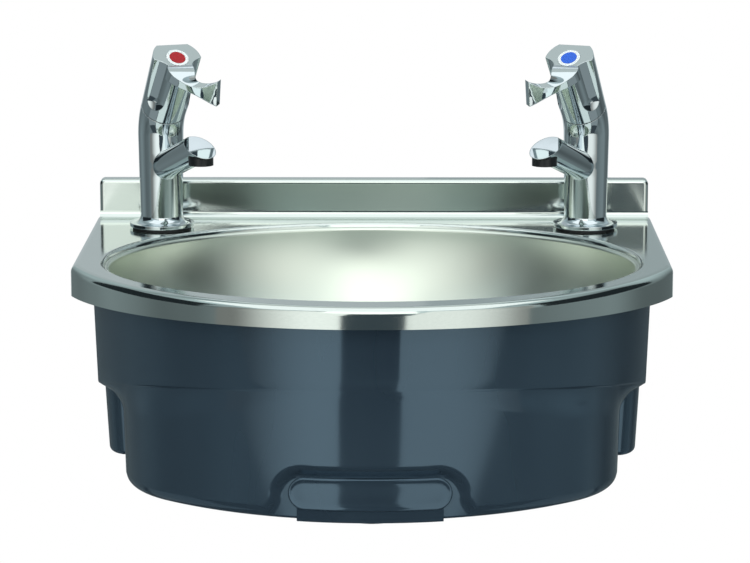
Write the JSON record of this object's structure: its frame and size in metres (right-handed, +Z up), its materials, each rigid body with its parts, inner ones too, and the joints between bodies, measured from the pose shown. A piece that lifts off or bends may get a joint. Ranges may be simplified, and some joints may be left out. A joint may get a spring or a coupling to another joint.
{
  "type": "hand basin",
  "caption": "Small wall-hung hand basin: a steel deck with an oval bowl and upstand, a moulded apron, a waste and lever pillar taps with quarter-turn levers.",
  "frame": {"origin": "midway between the two wall fixing holes, on the wall", "axes": "+Z up, +Y into the wall, so the front faces -Y"},
  "size_m": [0.385, 0.33, 0.2977],
  "materials": {
    "satin_steel": "satin",
    "slate_plastic": "gloss",
    "chrome": "mirror",
    "plated_steel": "zinc plated",
    "brass": "machined",
    "black_rubber": "matte",
    "white_nylon": "matte",
    "black_plastic": "matte",
    "disc_ceramic": "ground",
    "pale_plastic": "gloss",
    "red_plastic": "gloss",
    "blue_plastic": "gloss"
  },
  "bodies": {
    "basin": {"deck": "satin_steel", "bowl": "satin_steel", "apron": "slate_plastic", "clip_plate": "slate_plastic", "left_apron_bracket": "plated_steel", "right_apron_bracket": "plated_steel", "apron_screws": "plated_steel", "waste_body": "chrome", "waste_strainer": "satin_steel", "waste_upper_seal": "black_rubber", "waste_lower_seal": "black_rubber", "waste_backnut": "white_nylon", "hot_tap_body": "chrome", "hot_tap_seal": "black_rubber", "hot_tap_washer": "white_nylon", "hot_tap_backnut": "brass", "hot_outlet_insert": "black_plastic", "hot_cartridge": "brass", "hot_seat_seal": "black_rubber", "hot_fixed_disc": "disc_ceramic", "hot_gland_nut": "brass", "cold_tap_body": "chrome", "cold_tap_seal": "black_rubber", "cold_tap_washer": "white_nylon", "cold_tap_backnut": "brass", "cold_outlet_insert": "black_plastic", "cold_cartridge": "brass", "cold_seat_seal": "black_rubber", "cold_fixed_disc": "disc_ceramic", "cold_gland_nut": "brass"},
    "hot_lever": {"hot_handle": "chrome", "hot_handle_screw": "plated_steel", "hot_badge_ring": "pale_plastic", "hot_badge_disc": "red_plastic", "hot_spindle": "brass", "hot_turning_disc": "disc_ceramic"},
    "cold_lever": {"cold_handle": "chrome", "cold_handle_screw": "plated_steel", "cold_badge_ring": "pale_plastic", "cold_badge_disc": "blue_plastic", "cold_spindle": "brass", "cold_turning_disc": "disc_ceramic"}
  },
  "joints": [
    {"name": "hot_lever_turn", "type": "hinge", "parent": "basin", "child": "hot_lever", "pos_m": [-0.14154, -0.05352, 0.12705], "axis": [0.2448, -0.5498, 0.7986], "range_deg": [0, 90]},
    {"name": "cold_lever_turn", "type": "hinge", "parent": "basin", "child": "cold_lever", "pos_m": [0.14154, -0.05352, 0.12705], "axis": [-0.2448, -0.5498, 0.7986], "range_deg": [-90, 0]}
  ]
}
